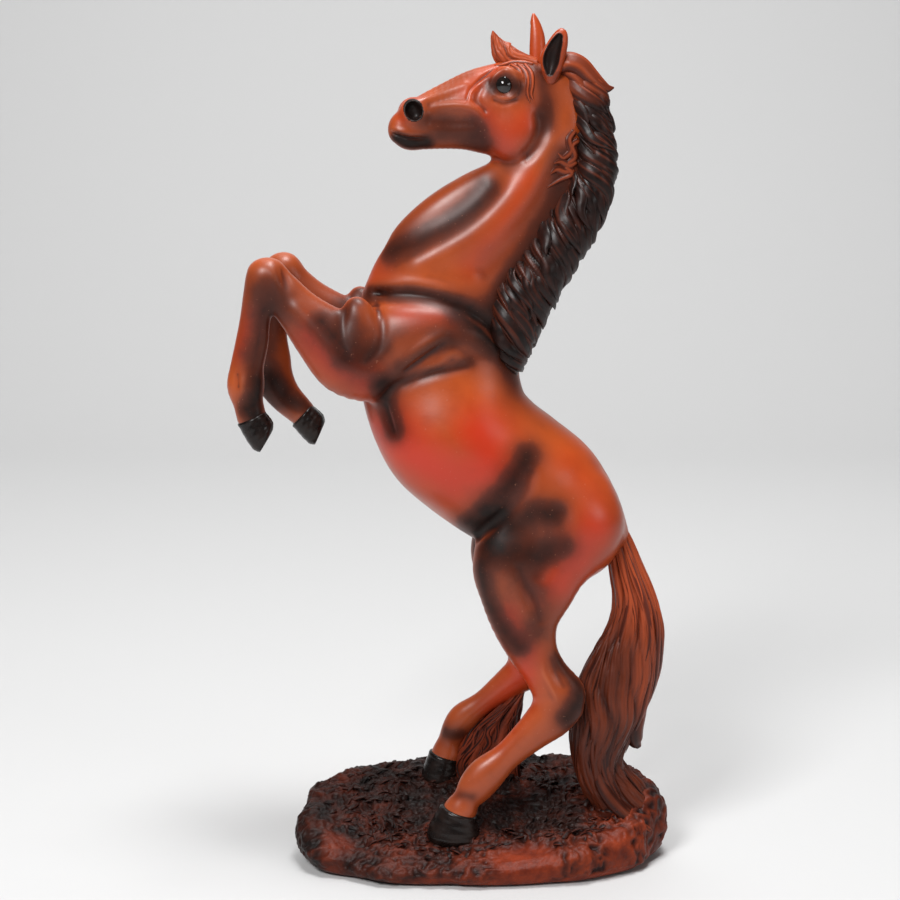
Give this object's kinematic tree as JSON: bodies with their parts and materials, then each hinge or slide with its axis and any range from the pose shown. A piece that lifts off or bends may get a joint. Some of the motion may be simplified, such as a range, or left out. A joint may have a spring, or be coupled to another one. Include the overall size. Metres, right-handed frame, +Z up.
{
  "type": "horse statue",
  "caption": "Rearing horse statue of painted resin, standing on its hind legs on an oval grassy ground, with its forelegs folded and its tail hanging to the ground.",
  "frame": {"origin": "centre of the footprint on the underside, on the surface the statue stands on", "axes": "+Z up, the horse faces -X, its left side faces -Y"},
  "size_m": [0.2044, 0.1013, 0.4],
  "materials": {
    "coat_paint": "glossy chestnut bronze-effect paint on cast resin, airbrushed dark brown",
    "hair_paint": "dark brown paint with dry-brushed copper ridges",
    "hoof_paint": "near-black satin paint",
    "eye_gloss": "gloss black enamel",
    "ground_paint": "dark brown paint, rough, with a lighter red-brown rim",
    "steel": "zinc-plated steel",
    "felt": "dark felt"
  },
  "bodies": {
    "root": {"felt_pad": "felt", "forelock": "hair_paint", "ground_casting": "ground_paint", "head": "coat_paint", "left_ear": "coat_paint", "left_eye": "eye_gloss", "left_fore_hoof": "hoof_paint", "left_foreleg": "coat_paint", "left_foreleg_dowel": "steel", "left_hind_hoof": "hoof_paint", "left_hind_leg": "coat_paint", "left_leg_rod": "steel", "mane": "hair_paint", "neck": "coat_paint", "neck_dowel": "steel", "right_ear": "coat_paint", "right_eye": "eye_gloss", "right_fore_hoof": "hoof_paint", "right_foreleg": "coat_paint", "right_foreleg_dowel": "steel", "right_hind_hoof": "hoof_paint", "right_hind_leg": "coat_paint", "right_leg_rod": "steel", "rod_nuts": "steel", "rod_washers": "steel", "support_tuft": "ground_paint", "tail": "hair_paint", "tail_dowel": "steel", "tail_rod": "steel", "torso": "coat_paint"}
  },
  "joints": []
}
